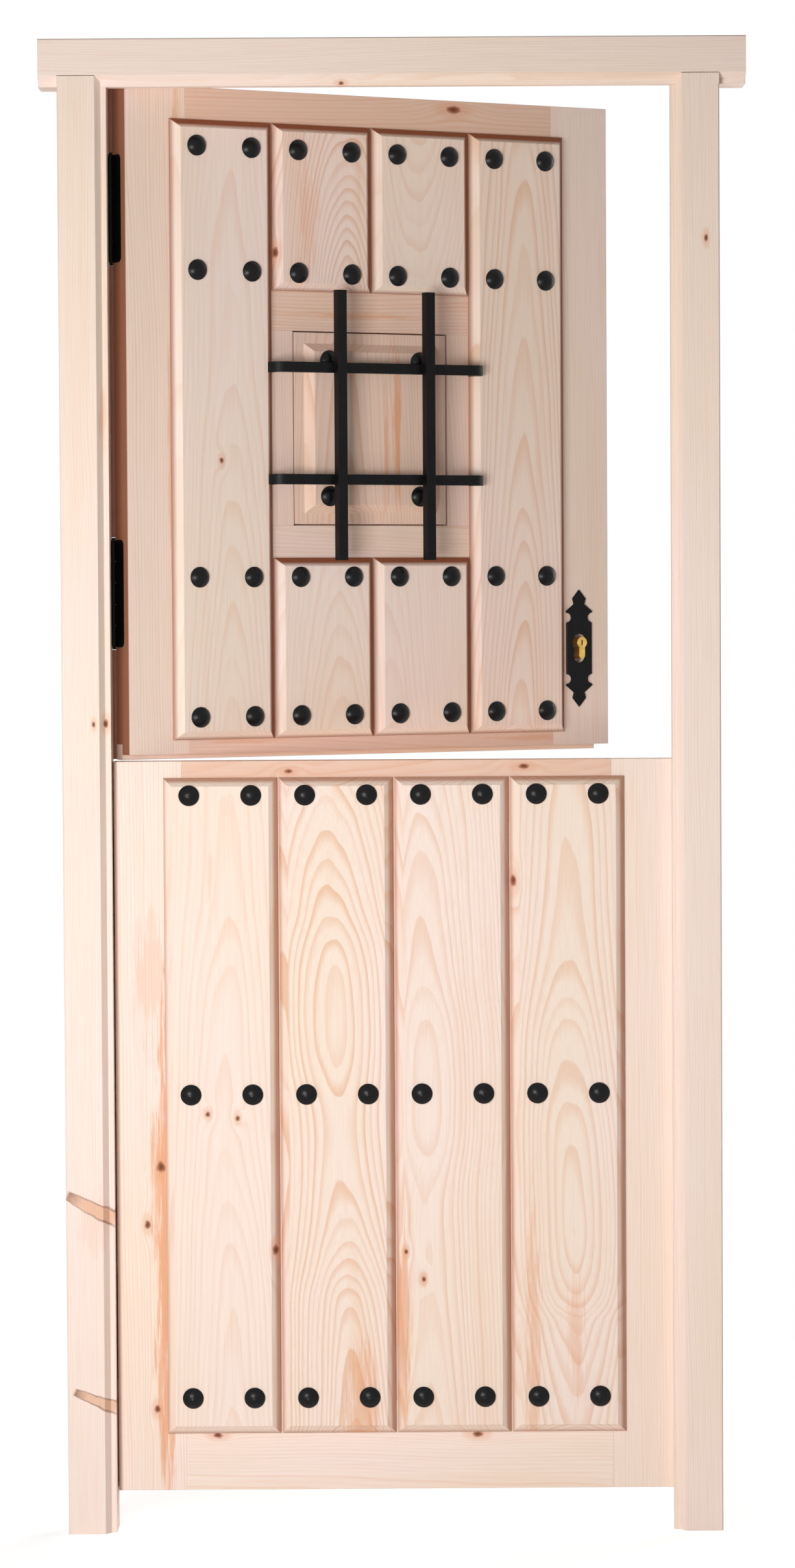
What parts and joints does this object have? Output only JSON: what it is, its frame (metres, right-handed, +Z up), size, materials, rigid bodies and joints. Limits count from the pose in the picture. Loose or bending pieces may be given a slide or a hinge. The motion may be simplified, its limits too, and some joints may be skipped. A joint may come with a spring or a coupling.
{
  "type": "dutch stable door",
  "caption": "Rustic pine stable door with its frame: closed lower leaf, upper leaf opening inward, bevelled planks with domed studs, a small shutter behind an iron grille, and a keyhole plate.",
  "frame": {"origin": "on the floor line, in the middle of the doorway, at the street face of the frame", "axes": "+X towards the lock side as seen from the street, +Y into the room, +Z up"},
  "size_m": [1.01, 0.4727, 2.148],
  "materials": {
    "pine": "raw planed pine",
    "black_iron": "black forged finish",
    "brass": "satin",
    "lock_steel": "zinc plated"
  },
  "bodies": {
    "frame": {"left_jamb": "pine", "right_jamb": "pine", "head": "pine", "jamb_hinge_flaps": "black_iron", "hinge_pins": "black_iron", "strike_plate": "lock_steel", "bolt_keeper": "black_iron", "frame_screws": "black_iron"},
    "upper_leaf": {"upper_hinge_stile": "pine", "upper_lock_stile": "pine", "upper_top_rail": "pine", "upper_bottom_rail": "pine", "meeting_lip": "pine", "window_top_rail": "pine", "window_bottom_rail": "pine", "window_side_panels": "pine", "upper_panel": "pine", "lower_panel": "pine", "upper_plank_1": "pine", "upper_plank_2_above": "pine", "upper_plank_2_below": "pine", "upper_plank_3_above": "pine", "upper_plank_3_below": "pine", "upper_plank_4": "pine", "upper_studs": "black_iron", "upper_hinge_flaps": "black_iron", "upper_leaf_screws": "black_iron", "grille_upright_left": "black_iron", "grille_upright_right": "black_iron", "grille_crossbar_lower": "black_iron", "grille_crossbar_upper": "black_iron", "lock_case": "lock_steel", "cylinder_body": "brass", "outer_keyhole_plate": "black_iron", "inner_keyhole_plate": "black_iron", "shutter_fixed_flaps": "black_iron", "shutter_hinge_pins": "black_iron"},
    "deadbolt": {"deadbolt": "lock_steel"},
    "cylinder_turning": {"cylinder_plugs": "brass", "lock_cam": "lock_steel"},
    "shutter": {"shutter": "pine", "shutter_studs": "black_iron", "shutter_moving_flaps": "black_iron", "shutter_screws": "black_iron"},
    "shutter_button": {"shutter_button": "black_iron"},
    "lower_leaf": {"lower_hinge_stile": "pine", "lower_lock_stile": "pine", "lower_top_rail": "pine", "lower_bottom_rail": "pine", "lower_back_boards": "pine", "lower_plank_1": "pine", "lower_plank_2": "pine", "lower_plank_3": "pine", "lower_plank_4": "pine", "lower_studs": "black_iron", "lower_hinge_flaps": "black_iron", "lower_leaf_screws": "black_iron", "bolt_base": "black_iron"},
    "bolt_rod": {"bolt_rod": "black_iron"}
  },
  "joints": [
    {"name": "upper_leaf_hinge", "type": "hinge", "parent": "frame", "child": "upper_leaf", "pos_m": [-0.402, 0.0766, 1.634], "axis": [0, 0, 1], "range_deg": [-29.5, 140.5]},
    {"name": "lower_leaf_hinge", "type": "hinge", "parent": "frame", "child": "lower_leaf", "pos_m": [-0.402, 0.0766, 0.616], "axis": [0, 0, 1], "range_deg": [0, 170]},
    {"name": "shutter_hinge", "type": "hinge", "parent": "upper_leaf", "child": "shutter", "pos_m": [-0.16345, 0.19617, 1.598], "axis": [0, 0, 1], "range_deg": [0, 110]},
    {"name": "shutter_button_turn", "type": "hinge", "parent": "upper_leaf", "child": "shutter_button", "pos_m": [0.08886, 0.33811, 1.598], "axis": [-0.4924, 0.8704, 0], "range_deg": [0, 90]},
    {"name": "cylinder_turn", "type": "hinge", "parent": "upper_leaf", "child": "cylinder_turning", "pos_m": [0.27754, 0.43108, 1.2787], "axis": [-0.4924, 0.8704, 0], "range_deg": [0, 360]},
    {"name": "deadbolt_slide", "type": "slide", "parent": "upper_leaf", "child": "deadbolt", "axis": [0.8704, 0.4924, 0], "range_m": [0, 0.02]},
    {"name": "lower_bolt_slide", "type": "slide", "parent": "lower_leaf", "child": "bolt_rod", "axis": [1, 0, 0], "range_m": [0, 0.035]}
  ],
  "couplings": [
    {"joint": "cylinder_turn", "follows": "deadbolt_slide", "rad_per_m": 314.16}
  ]
}
